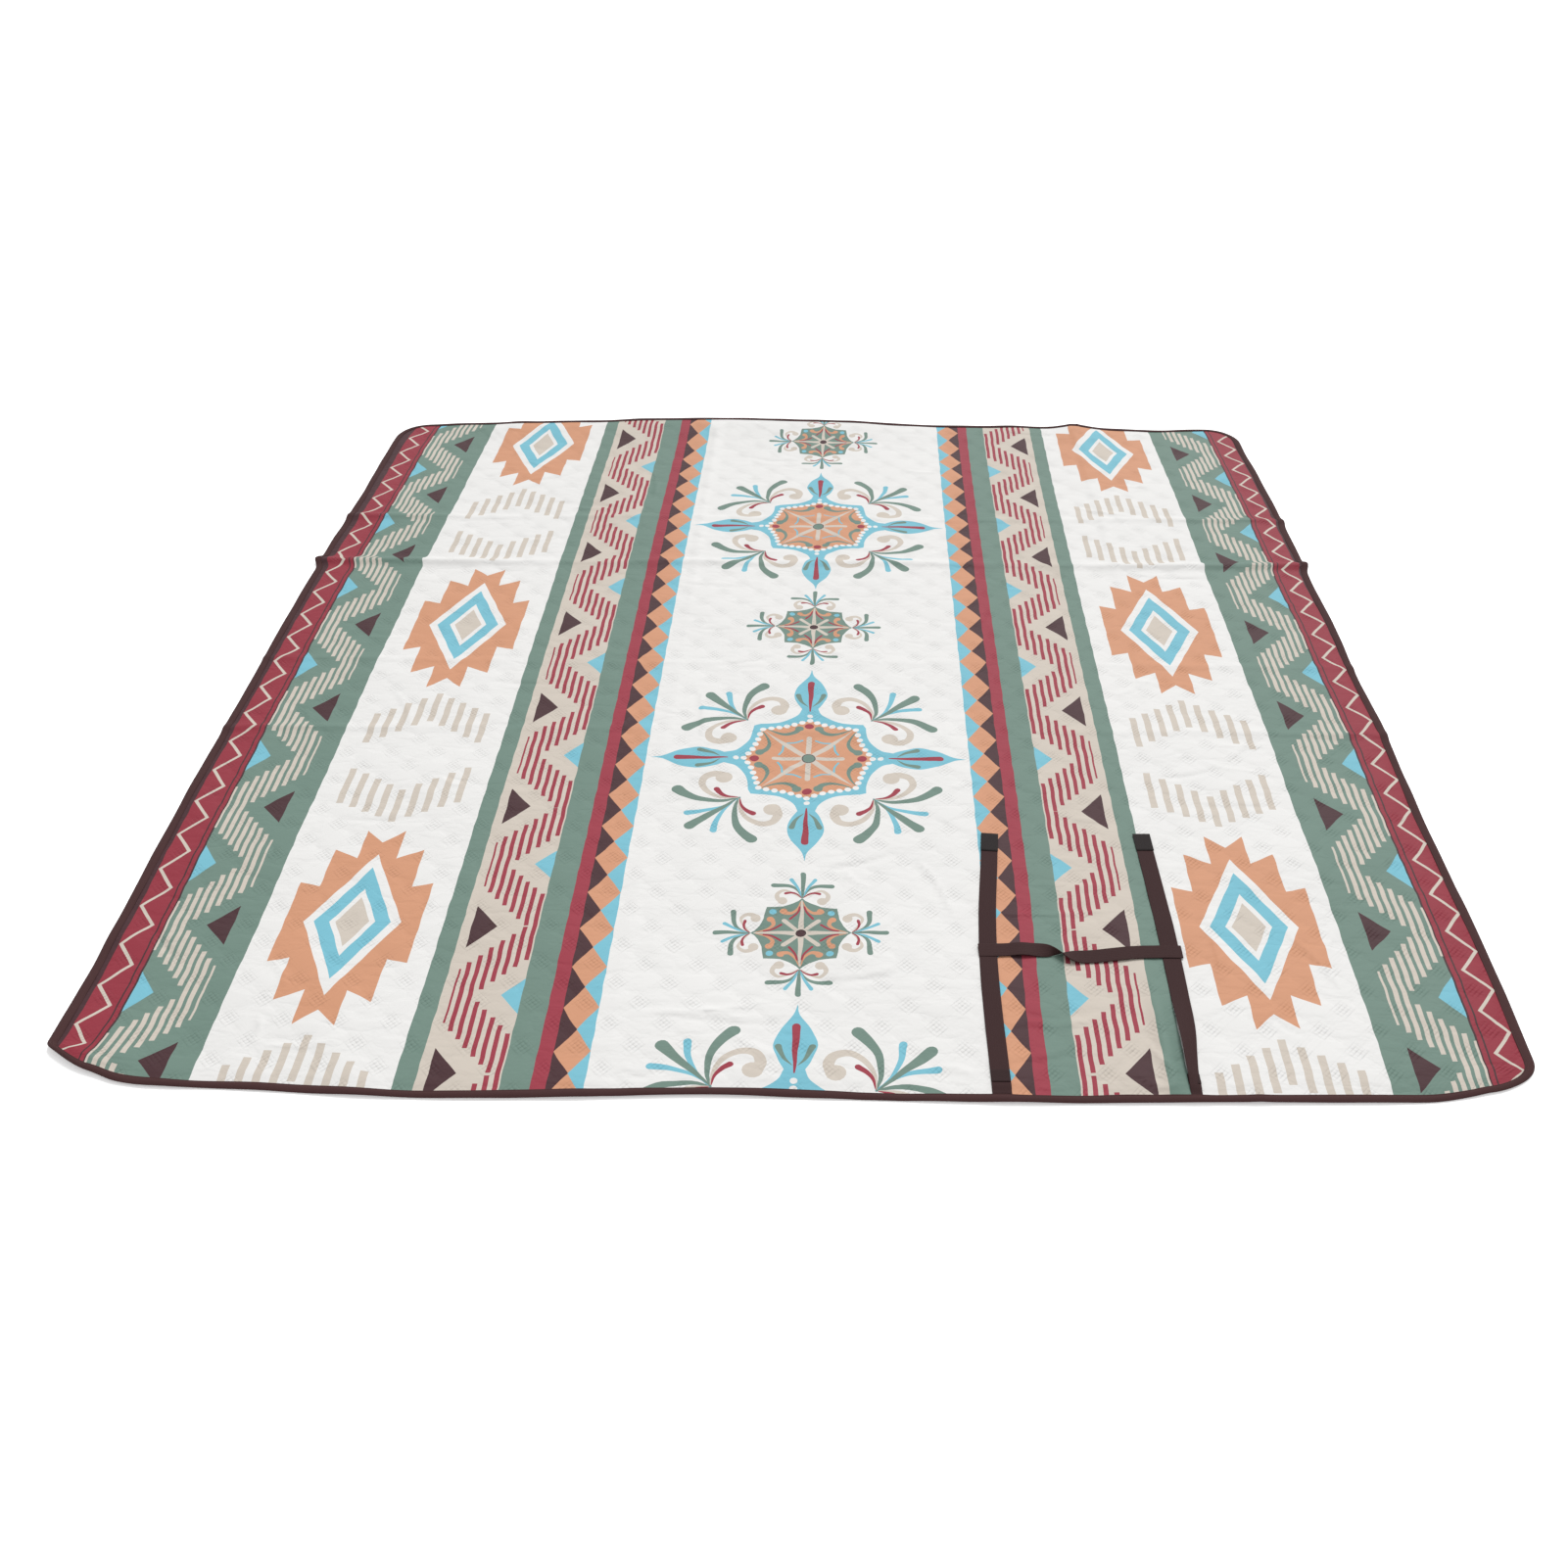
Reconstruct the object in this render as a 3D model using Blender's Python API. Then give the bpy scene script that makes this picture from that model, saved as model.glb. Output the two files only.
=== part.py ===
"""A square padded camp blanket that folds in three, with two carry straps and a handle.

The blanket lies on the ground with its printed face up. +X is to the right, +Y to the back,
and +Z up. The origin is on the ground under the blanket's centre. The straps lie on the front
panel. Units are metres.
"""

import math

import bmesh
import bpy

# Blanket
BLANKET_WIDTH = 2.0
BLANKET_LENGTH = 2.0
CORNER_RADIUS = 0.070
FRONT_PANEL_LENGTH = 0.68
MIDDLE_PANEL_LENGTH = 0.68

# Layers, from the ground up
BACKING_THICKNESS = 0.0006
PADDING_THICKNESS = 0.0022
COVER_THICKNESS = 0.0006

# Folded tape round the edge, and the strip beside it where the layers thin down to the seam
BINDING_WIDTH = 0.017
BINDING_THICKNESS = 0.0006
SEAM_SLOPE = 0.008

# Straps: their webbing is tucked under the front binding and folds back just past the handle
STRAP_WIDTH = 0.026
STRAP_THICKNESS = 0.0012
STRAP_LENGTH = 0.505
STRAP_SPACING = 0.262
STRAP_PAIR_X = 0.416

# Touch-and-close patches
PATCH_THICKNESS = 0.0008
PATCH_MARGIN = 0.001
HOOK_PATCH_LENGTH = 0.038
LOOP_PATCH_LENGTH = 0.024
LOOP_PATCH_OFFSET = 0.002

# Carry handle: a strap sewn across both straps, free between them and bowed to the front
HANDLE_WIDTH = 0.025
HANDLE_THICKNESS = 0.0012
HANDLE_DISTANCE = 0.248
HANDLE_BOW = 0.012
TAIL_FOLD_CLEARANCE = 0.001

# Half the space that the springy padding keeps between two folded layers
FOLD_LOFT = 0.004

# Space between pieces that touch
GAP = 0.0003
CORNER_SEGMENTS = 10
HANDLE_SEGMENTS = 10

# Levels
SEAM_BACKING_Z = BINDING_THICKNESS + GAP
SEAM_COVER_Z = SEAM_BACKING_Z + BACKING_THICKNESS + GAP
BINDING_UPPER_Z = SEAM_COVER_Z + COVER_THICKNESS + GAP
BINDING_TOP_Z = BINDING_UPPER_Z + BINDING_THICKNESS
PADDING_Z = BACKING_THICKNESS + GAP
COVER_Z = PADDING_Z + PADDING_THICKNESS + GAP
COVER_TOP_Z = COVER_Z + COVER_THICKNESS
STRAP_Z = max(COVER_TOP_Z, BINDING_TOP_Z) + GAP
STRAP_TOP_Z = STRAP_Z + STRAP_THICKNESS
PATCH_Z = STRAP_TOP_Z + GAP
PATCH_TOP_Z = PATCH_Z + PATCH_THICKNESS
HANDLE_Z = STRAP_TOP_Z + GAP
HANDLE_TOP_Z = HANDLE_Z + HANDLE_THICKNESS

# Places in plan
FRONT_Y = -BLANKET_LENGTH / 2
BACK_Y = BLANKET_LENGTH / 2
FRONT_FOLD_Y = FRONT_Y + FRONT_PANEL_LENGTH
BACK_FOLD_Y = FRONT_FOLD_Y + MIDDLE_PANEL_LENGTH
STRAP_FOOT_Y = FRONT_Y + BINDING_WIDTH
STRAP_TIP_Y = STRAP_FOOT_Y + STRAP_LENGTH
HANDLE_Y = STRAP_FOOT_Y + HANDLE_DISTANCE
TAIL_FOLD_Y = HANDLE_Y + HANDLE_WIDTH / 2 + TAIL_FOLD_CLEARANCE

# Joint axes: each clears what its piece folds onto
BACK_FOLD_Z = COVER_TOP_Z + GAP + FOLD_LOFT
FRONT_FOLD_Z = -GAP - FOLD_LOFT
STRAP_FLIP_Z = (BINDING_TOP_Z + GAP + PATCH_TOP_Z) / 2
TAIL_FOLD_Z = max(PATCH_TOP_Z + GAP / 2, (HANDLE_TOP_Z + GAP + STRAP_TOP_Z) / 2)
HANDLE_LIFT_Y = HANDLE_Y + HANDLE_WIDTH / 2


def clear_scene():
    for item in list(bpy.data.objects):
        bpy.data.objects.remove(item, do_unlink=True)


def make_material(name, colour, roughness):
    material = bpy.data.materials.new(name)
    material.use_nodes = True
    shader = material.node_tree.nodes["Principled BSDF"]
    shader.inputs["Base Color"].default_value = (*colour, 1.0)
    shader.inputs["Roughness"].default_value = roughness
    shader.inputs["Metallic"].default_value = 0.0
    return material


def make_pivot(name, place, parent=None):
    """An empty on a joint's axis, placed in world coordinates."""
    empty = bpy.data.objects.new(name, None)
    bpy.context.scene.collection.objects.link(empty)
    empty["place"] = place
    if parent is None:
        empty.location = place
    else:
        empty.parent = parent
        empty.location = [a - b for a, b in zip(place, parent["place"])]
    return empty


def make_piece(name, points, faces, material, pivot=None):
    """A closed mesh from world points, with its origin on its pivot."""
    origin = pivot["place"] if pivot else (0.0, 0.0, 0.0)
    shape = bmesh.new()
    corners = [shape.verts.new([a - b for a, b in zip(p, origin)]) for p in points]
    for face in faces:
        shape.faces.new([corners[i] for i in face])
    bmesh.ops.recalc_face_normals(shape, faces=shape.faces)
    mesh = bpy.data.meshes.new(name)
    shape.to_mesh(mesh)
    shape.free()
    mesh.materials.append(material)
    piece = bpy.data.objects.new(name, mesh)
    bpy.context.scene.collection.objects.link(piece)
    piece.parent = pivot
    return piece


def rounded_edge(inset, fold_y, end_y):
    """The edge of an end panel in plan: down one side, round both corners, and back to the fold."""
    end = math.copysign(1.0, end_y - fold_y)
    radius = CORNER_RADIUS - inset
    centre_x = BLANKET_WIDTH / 2 - CORNER_RADIUS
    centre_y = end_y - end * CORNER_RADIUS
    edge = [(-centre_x - radius, fold_y)]
    for side in (-1.0, 1.0):
        for step in range(CORNER_SEGMENTS + 1):
            turn = math.pi / 2 * step / CORNER_SEGMENTS
            angle = turn if side < 0 else math.pi / 2 - turn
            x = side * (centre_x + radius * math.cos(angle))
            edge.append((x, centre_y + end * radius * math.sin(angle)))
    edge.append((centre_x + radius, fold_y))
    return edge


def straight_edge(side, inset):
    """One side edge of the middle panel in plan, from its front fold to its back fold."""
    x = side * (BLANKET_WIDTH / 2 - inset)
    return [(x, FRONT_FOLD_Y + GAP / 2), (x, BACK_FOLD_Y - GAP / 2)]


def front_outline(inset):
    return rounded_edge(inset, FRONT_FOLD_Y - GAP / 2, FRONT_Y)


def back_outline(inset):
    return rounded_edge(inset, BACK_FOLD_Y + GAP / 2, BACK_Y)


def middle_outline(inset):
    return straight_edge(-1.0, inset) + straight_edge(1.0, inset)[::-1]


def make_layer(name, outline, levels, material, pivot):
    """A thin sheet from rings (inset, height), bottom middle first, closed flat at each fold."""
    rings = [[(x, y, z) for x, y in outline(inset)] for inset, z in levels]
    count = len(rings[0])
    points = [point for ring in rings for point in ring]
    fold_edges = [i for i in range(count) if rings[0][i][1] == rings[0][(i + 1) % count][1]
                  and rings[0][i][1] in fold_lines()]
    faces = [list(range(count)), [(len(rings) - 1) * count + i for i in range(count)]]
    for i in range(count):
        j = (i + 1) % count
        if i in fold_edges:
            up = [level * count + i for level in range(len(rings))]
            down = [level * count + j for level in reversed(range(len(rings)))]
            faces.append(up + down)
            continue
        for level in range(len(rings) - 1):
            low, high = level * count, (level + 1) * count
            faces.append([low + i, low + j, high + j, high + i])
    return make_piece(name, points, faces, material, pivot)


def fold_lines():
    """The panels' cut lines along X, on either side of each fold."""
    return [fold + side * GAP / 2 for fold in (FRONT_FOLD_Y, BACK_FOLD_Y) for side in (-1, 1)]


def backing_levels():
    """The backing lies on the ground and rises into the binding at its edge."""
    rim = BINDING_THICKNESS + GAP
    inner = BINDING_WIDTH + GAP
    field = inner + SEAM_SLOPE
    bottom = [(field, 0.0), (inner, SEAM_BACKING_Z), (rim, SEAM_BACKING_Z)]
    return bottom + [(inset, z + BACKING_THICKNESS) for inset, z in reversed(bottom)]


def cover_levels():
    """The cover lies over the padding and drops into the binding at its edge."""
    rim = BINDING_THICKNESS + GAP
    inner = BINDING_WIDTH + GAP
    field = inner + SEAM_SLOPE
    bottom = [(field, COVER_Z), (inner, SEAM_COVER_Z), (rim, SEAM_COVER_Z)]
    return bottom + [(inset, z + COVER_THICKNESS) for inset, z in reversed(bottom)]


def padding_levels():
    """The padding fills the field and stops where the layers thin down."""
    inset = BINDING_WIDTH + GAP + SEAM_SLOPE
    return [(inset, PADDING_Z), (inset, PADDING_Z + PADDING_THICKNESS)]


def make_binding(name, edge, material, pivot):
    """Tape folded round the edge: a channel open inwards, swept along an edge in plan."""
    web = BINDING_THICKNESS
    profile = [
        (BINDING_WIDTH, 0.0),
        (0.0, 0.0),
        (0.0, BINDING_TOP_Z),
        (BINDING_WIDTH, BINDING_TOP_Z),
        (BINDING_WIDTH, BINDING_UPPER_Z),
        (web, BINDING_UPPER_Z),
        (web, BINDING_THICKNESS),
        (BINDING_WIDTH, BINDING_THICKNESS),
    ]
    rings = [[(x, y, z) for x, y in edge(inset)] for inset, z in profile]
    sides, count = len(rings), len(rings[0])
    points = [point for ring in rings for point in ring]
    faces = [[side * count for side in range(sides)], [side * count + count - 1 for side in range(sides)]]
    for side in range(sides):
        here, after = side * count, (side + 1) % sides * count
        for i in range(count - 1):
            faces.append([here + i, here + i + 1, after + i + 1, after + i])
    return make_piece(name, points, faces, material, pivot)


def make_strip(name, left, right, bottom, top, material, pivot):
    """A flat strip between two lines of plan points, of equal number."""
    count = len(left)
    outline = left + right[::-1]
    points = [(x, y, z) for z in (bottom, top) for x, y in outline]
    total = len(outline)
    faces = []
    for i in range(count - 1):
        low = [i, i + 1, total - 2 - i, total - 1 - i]
        faces += [low, [total + k for k in low]]
    for i in range(total):
        j = (i + 1) % total
        faces.append([i, j, total + j, total + i])
    return make_piece(name, points, faces, material, pivot)


def make_block(name, x_range, y_range, bottom, top, material, pivot):
    left = [(x_range[0], y) for y in y_range]
    right = [(x_range[1], y) for y in y_range]
    return make_strip(name, left, right, bottom, top, material, pivot)


def make_panels(materials, pivots):
    """The three layers of each panel, and the binding round the panels' outer edges."""
    outlines = {"back": back_outline, "middle": middle_outline, "front": front_outline}
    for panel, outline in outlines.items():
        pivot = pivots[panel]
        make_layer(f"backing_{panel}", outline, backing_levels(), materials["backing"], pivot)
        make_layer(f"padding_{panel}", outline, padding_levels(), materials["padding"], pivot)
        make_layer(f"cover_{panel}", outline, cover_levels(), materials["cover"], pivot)
    make_binding("binding_back", back_outline, materials["binding"], pivots["back"])
    make_binding("binding_front", front_outline, materials["binding"], pivots["front"])
    for word, side in (("left", -1.0), ("right", 1.0)):
        make_binding(
            f"binding_middle_{word}",
            lambda inset, side=side: straight_edge(side, inset),
            materials["binding"],
            pivots["middle"],
        )


def make_strap(word, centre_x, materials, strap_pivot, tail_pivot):
    """One carry strap: its base, its folding tail, and a patch on each."""
    strap_x = (centre_x - STRAP_WIDTH / 2, centre_x + STRAP_WIDTH / 2)
    patch_x = (strap_x[0] + PATCH_MARGIN, strap_x[1] - PATCH_MARGIN)
    base_y = (STRAP_FOOT_Y + GAP, TAIL_FOLD_Y - GAP / 2)
    tail_y = (TAIL_FOLD_Y + GAP / 2, STRAP_TIP_Y)
    loop_start = STRAP_FOOT_Y + LOOP_PATCH_OFFSET
    loop_y = (loop_start, loop_start + LOOP_PATCH_LENGTH)
    hook_end = STRAP_TIP_Y - PATCH_MARGIN
    hook_y = (hook_end - HOOK_PATCH_LENGTH, hook_end)
    webbing, patch = materials["webbing"], materials["patch"]
    make_block(f"strap_{word}_base", strap_x, base_y, STRAP_Z, STRAP_TOP_Z, webbing, strap_pivot)
    make_block(f"strap_{word}_tail", strap_x, tail_y, STRAP_Z, STRAP_TOP_Z, webbing, tail_pivot)
    make_block(f"loop_patch_{word}", patch_x, loop_y, PATCH_Z, PATCH_TOP_Z, patch, strap_pivot)
    make_block(f"hook_patch_{word}", patch_x, hook_y, PATCH_Z, PATCH_TOP_Z, patch, tail_pivot)


def make_handle_side(word, side, centre_x, materials, strap_pivot, lift_pivot):
    """Half of the handle: the end sewn to the strap, and the free part up to the middle."""
    webbing = materials["webbing"]
    half = HANDLE_WIDTH / 2
    tab_x = (centre_x - STRAP_WIDTH / 2, centre_x + STRAP_WIDTH / 2)
    tab_y = (HANDLE_Y - half, HANDLE_Y + half)
    make_block(f"handle_tab_{word}", tab_x, tab_y, HANDLE_Z, HANDLE_TOP_Z, webbing, strap_pivot)
    start_x = centre_x - side * (STRAP_WIDTH / 2 + GAP)
    end_x = STRAP_PAIR_X + side * GAP / 2
    back_line, front_line = [], []
    for step in range(HANDLE_SEGMENTS + 1):
        share = step / HANDLE_SEGMENTS
        x = start_x + (end_x - start_x) * share
        y = HANDLE_Y - HANDLE_BOW * (1 - math.cos(math.pi * share)) / 2
        back_line.append((x, y + half))
        front_line.append((x, y - half))
    make_strip(f"handle_half_{word}", back_line, front_line, HANDLE_Z, HANDLE_TOP_Z, webbing, lift_pivot)


def make_straps(materials, front_pivot):
    """Both carry straps with the handle across them, on the front panel."""
    for word, side in (("left", -1.0), ("right", 1.0)):
        centre_x = STRAP_PAIR_X + side * STRAP_SPACING / 2
        strap_pivot = make_pivot(
            f"strap_{word}_pivot", (centre_x, STRAP_FOOT_Y, STRAP_FLIP_Z), front_pivot
        )
        tail_pivot = make_pivot(
            f"tail_{word}_pivot", (centre_x, TAIL_FOLD_Y, TAIL_FOLD_Z), strap_pivot
        )
        lift_pivot = make_pivot(
            f"handle_{word}_pivot", (centre_x, HANDLE_LIFT_Y, HANDLE_Z), strap_pivot
        )
        make_strap(word, centre_x, materials, strap_pivot, tail_pivot)
        make_handle_side(word, side, centre_x, materials, strap_pivot, lift_pivot)


def main():
    clear_scene()
    materials = {
        "cover": make_material("cover_fabric", (0.83, 0.82, 0.80), 0.85),
        "padding": make_material("padding", (0.86, 0.86, 0.84), 0.95),
        "backing": make_material("backing_film", (0.10, 0.075, 0.07), 0.55),
        "binding": make_material("binding_tape", (0.065, 0.03, 0.027), 0.8),
        "webbing": make_material("strap_webbing", (0.06, 0.028, 0.025), 0.8),
        "patch": make_material("touch_and_close", (0.03, 0.026, 0.024), 0.6),
    }
    middle_pivot = make_pivot("middle_panel_pivot", (0.0, BACK_FOLD_Y, BACK_FOLD_Z))
    front_pivot = make_pivot(
        "front_panel_pivot", (0.0, FRONT_FOLD_Y, FRONT_FOLD_Z), middle_pivot
    )
    pivots = {"back": None, "middle": middle_pivot, "front": front_pivot}
    make_panels(materials, pivots)
    make_straps(materials, front_pivot)


main()
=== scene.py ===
"""A printed camp blanket laid out flat: quilted cover, backing, edge binding, carry straps and handle."""

import math

import bmesh
import bpy
import numpy as np
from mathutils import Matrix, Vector
from mathutils.geometry import delaunay_2d_cdt


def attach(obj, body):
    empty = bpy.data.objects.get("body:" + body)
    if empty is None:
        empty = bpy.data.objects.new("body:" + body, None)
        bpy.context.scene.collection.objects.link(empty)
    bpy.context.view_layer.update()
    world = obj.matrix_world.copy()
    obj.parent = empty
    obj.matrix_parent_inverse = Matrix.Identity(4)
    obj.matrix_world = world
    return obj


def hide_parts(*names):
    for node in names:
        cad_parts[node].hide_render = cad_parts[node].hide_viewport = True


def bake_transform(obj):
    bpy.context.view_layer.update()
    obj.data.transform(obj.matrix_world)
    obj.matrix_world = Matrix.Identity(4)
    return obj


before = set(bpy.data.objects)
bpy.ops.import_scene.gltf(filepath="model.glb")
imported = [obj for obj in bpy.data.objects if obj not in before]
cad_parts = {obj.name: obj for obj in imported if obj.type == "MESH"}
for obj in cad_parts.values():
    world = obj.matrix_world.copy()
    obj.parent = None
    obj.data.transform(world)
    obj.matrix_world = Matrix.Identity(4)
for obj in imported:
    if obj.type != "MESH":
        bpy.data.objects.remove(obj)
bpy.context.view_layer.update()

# -------------------------------- sizes, in metres
HALF_SIDE = 1.0
CORNER_RADIUS = 0.070
COVER_LEVEL = 0.0040
BACKING_LEVEL = 0.0004
HIGHEST_RELIEF = 0.0122

FRONT_FOLD_Y = -0.32
BACK_FOLD_Y = 0.36

QUILT_PITCH = 0.075
QUILT_SHIFT = 0.45
STITCH_PITCH = 0.0057
STITCH_DEPTH = 0.00032
CELL_PUFF = 0.0010
CROSSING_REACH = 0.014

STRAP_WIDTH = 0.026
STRAP_THICKNESS = 0.0012
HANDLE_WIDTH = 0.025
PATCH_THICKNESS = 0.0009
STRAP_REST = 0.0003
STRAP_SPLIT_Y = -0.7255
TAIL_END_OF_BEND_Y = -0.7175

MESH_STEP = 0.0065
BACKING_STEP = 0.012
BINDING_STEP = 0.006
SHEET_INSET = 0.004

# -------------------------------- the print's layout
MIDDLE_X = 0.010
OUTER_MIDDLE_X = 0.0055
MEDALLION_X = 0.011
FIRST_ROW, LAST_ROW = -0.4, 2.2
BAND_SHIFT = 0.009

# -------------------------------- colours, as seen in sRGB
COLOURS = {
    "white": "EDECEA",
    "terracotta": "D69B79",
    "sage": "738C81",
    "beige": "D2C8BC",
    "turquoise": "7CC1D3",
    "burgundy": "A03A49",
    "deep_burgundy": "963240",
    "print_brown": "4A2E32",
    "black_ink": "1E1719",
}
LIGHT_LEVEL = 1.20


def linear(code):
    """A linear colour from a hexadecimal sRGB one, as the cloth's own colour under the scene's light."""
    parts = [int(code[i:i + 2], 16) / 255 for i in (0, 2, 4)]
    values = [p / 12.92 if p <= 0.04045 else ((p + 0.055) / 1.055) ** 2.4 for p in parts]
    return [v / LIGHT_LEVEL for v in values] + [1.0]


# -------------------------------- curves
def smooth(t):
    t = np.clip(t, 0.0, 1.0)
    return t * t * (3 - 2 * t)


def bell(t, width):
    return np.exp(-((t / width) ** 2))


def curve_value(table, t):
    """The smooth curve through a table of (place, value), read at t."""
    place, value = np.array(table, float).T
    slope = np.gradient(value, place)
    t = np.clip(t, place[0], place[-1])
    i = np.clip(np.searchsorted(place, t, side="right") - 1, 0, len(place) - 2)
    step = place[i + 1] - place[i]
    f = (t - place[i]) / step
    return (
        (2 * f**3 - 3 * f**2 + 1) * value[i]
        + (f**3 - 2 * f**2 + f) * step * slope[i]
        + (3 * f**2 - 2 * f**3) * value[i + 1]
        + (f**3 - f**2) * step * slope[i + 1]
    )


def curve_through(points, steps=5):
    """Points along a smooth curve through the given ones."""
    points = np.array(points, float)
    stations = np.arange(len(points))
    read = np.linspace(0, len(points) - 1, steps * (len(points) - 1) + 1)
    return np.stack([curve_value(np.stack([stations, points[:, k]], 1), read) for k in (0, 1)], 1)


# -------------------------------- how the blanket lies
# How far each edge lies outside its straight line
LEFT_DRIFT = [
    (-1.0, 0.000), (-0.90, 0.001), (-0.70, 0.004), (-0.50, 0.009), (-0.30, 0.011), (0.0, 0.0135),
    (0.30, 0.0135), (0.45, 0.011), (0.60, 0.005), (0.80, 0.003), (0.93, 0.0), (1.0, -0.004),
]
RIGHT_DRIFT = [
    (-1.0, 0.000), (-0.90, 0.0035), (-0.80, 0.007), (-0.60, 0.010), (-0.40, 0.010), (-0.20, 0.015),
    (0.0, 0.0125), (0.10, 0.015), (0.30, 0.012), (0.50, 0.013), (0.65, 0.010), (0.80, 0.005),
    (0.90, 0.000), (1.0, -0.004),
]
FRONT_DRIFT = [
    (-1.0, -0.006), (-0.85, -0.006), (-0.70, -0.002), (-0.60, 0.004), (-0.50, 0.008), (-0.30, 0.006),
    (-0.10, -0.001), (0.05, 0.002), (0.30, 0.006), (0.60, 0.002), (0.80, -0.001), (0.90, -0.004),
    (1.0, -0.004),
]
# The front corners are pulled back over their last few centimetres
CORNER_PULL = [
    (-1.0, 0.036), (-0.975, 0.033), (-0.945, 0.027), (-0.92, 0.0190), (-0.89, 0.0075), (-0.86, 0.0020),
    (-0.82, 0.0), (-0.75, 0.0), (0.75, 0.0), (0.80, 0.0), (0.86, 0.0015), (0.90, 0.008), (0.93, 0.0150),
    (0.96, 0.018), (1.0, 0.016),
]
BACK_DRIFT = [
    (-1.0, 0.002), (-0.90, 0.009), (-0.70, 0.016), (-0.50, 0.021), (-0.35, 0.028), (-0.22, 0.031),
    (0.0, 0.023), (0.20, 0.015), (0.45, 0.010), (0.60, 0.009), (0.80, 0.0), (0.90, 0.002), (1.0, 0.0),
]
# Creases left by the folding: place, height at the sides, width
CROSS_FOLDS = [(-0.21, 0.0028, 0.010), (0.0, 0.0022, 0.010), (0.36, 0.0085, 0.013), (0.55, 0.0040, 0.011)]
LENGTH_FOLDS = [(-0.235, 0.0026, 0.012), (0.617, 0.0034, 0.011)]
# How high the back edge stands off the floor
BACK_RISE = [
    (-1.0, 0.0), (-0.85, 0.002), (-0.65, 0.006), (-0.45, 0.010), (-0.27, 0.0125), (-0.15, 0.0118),
    (0.0, 0.0095), (0.2, 0.0065), (0.45, 0.0035), (0.56, 0.0035), (0.61, 0.008), (0.66, 0.0035),
    (0.8, 0.0), (1.0, 0.0),
]
# Single wrinkles: start, end, height
LONG_WRINKLES = [
    ((0.045, -0.797), (0.150, -0.783), -0.0016),
    ((0.050, -0.562), (0.150, -0.527), -0.0014),
    ((-0.200, -0.858), (-0.030, -0.840), 0.0014),
    ((-0.160, -0.868), (0.000, -0.876), -0.0012),
    ((0.330, -0.868), (0.420, -0.862), 0.0022),
    ((0.300, -0.655), (0.470, -0.650), 0.0016),
    ((0.250, -0.955), (0.190, -0.950), 0.0012),
    ((0.490, -0.905), (0.525, -0.955), 0.0016),
    ((0.470, -0.955), (0.520, -0.985), 0.0014),
]
chance = np.random.default_rng(7)


def scattered_wrinkles(count):
    made = []
    for _ in range(count):
        centre = chance.uniform(-0.97, 0.97, 2)
        turn = chance.normal(0.0, 0.45) + (math.pi / 2 if chance.random() < 0.2 else 0.0)
        half = chance.uniform(0.02, 0.07)
        step = half * np.array([math.cos(turn), math.sin(turn)])
        height = chance.uniform(0.0005, 0.0013) * chance.choice([-1, 1])
        made.append((tuple(centre - step), tuple(centre + step), height))
    return made


WRINKLES = LONG_WRINKLES + scattered_wrinkles(110)
# Broad waves: length, height
WAVE_SIZES = [
    (0.50, 0.0007), (0.34, 0.0006), (0.23, 0.0004), (0.17, 0.0003), (0.12, 0.0002), (0.085, 0.00015),
]
WAVES = [
    (chance.uniform(0, math.tau), chance.uniform(0, math.tau), length, size)
    for length, size in WAVE_SIZES
    for _ in range(2)
]


def wave_field(x, y):
    total = np.zeros_like(x)
    for turn, phase, length, size in WAVES:
        total += size * np.sin(math.tau * (x * math.cos(turn) + y * math.sin(turn)) / length + phase)
    return total


def wrinkle_field(x, y):
    total = np.zeros_like(x)
    for start, end, height in WRINKLES:
        start, end = np.array(start), np.array(end)
        length = np.linalg.norm(end - start)
        along = (end - start) / length
        near = np.flatnonzero(
            (np.abs(x - (start[0] + end[0]) / 2) < length + 0.03)
            & (np.abs(y - (start[1] + end[1]) / 2) < length + 0.03)
        )
        dx, dy = x[near] - start[0], y[near] - start[1]
        t = (dx * along[0] + dy * along[1]) / length
        off = dx * -along[1] + dy * along[0] + 0.006 * np.sin(math.pi * np.clip(t, 0, 1))
        fade = smooth(t / 0.3 + 0.4) * smooth((1 - t) / 0.3 + 0.4)
        total[near] += height * fade * (bell(off, 0.0055) - 0.45 * bell(off - 0.011, 0.009))
    return total


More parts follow.
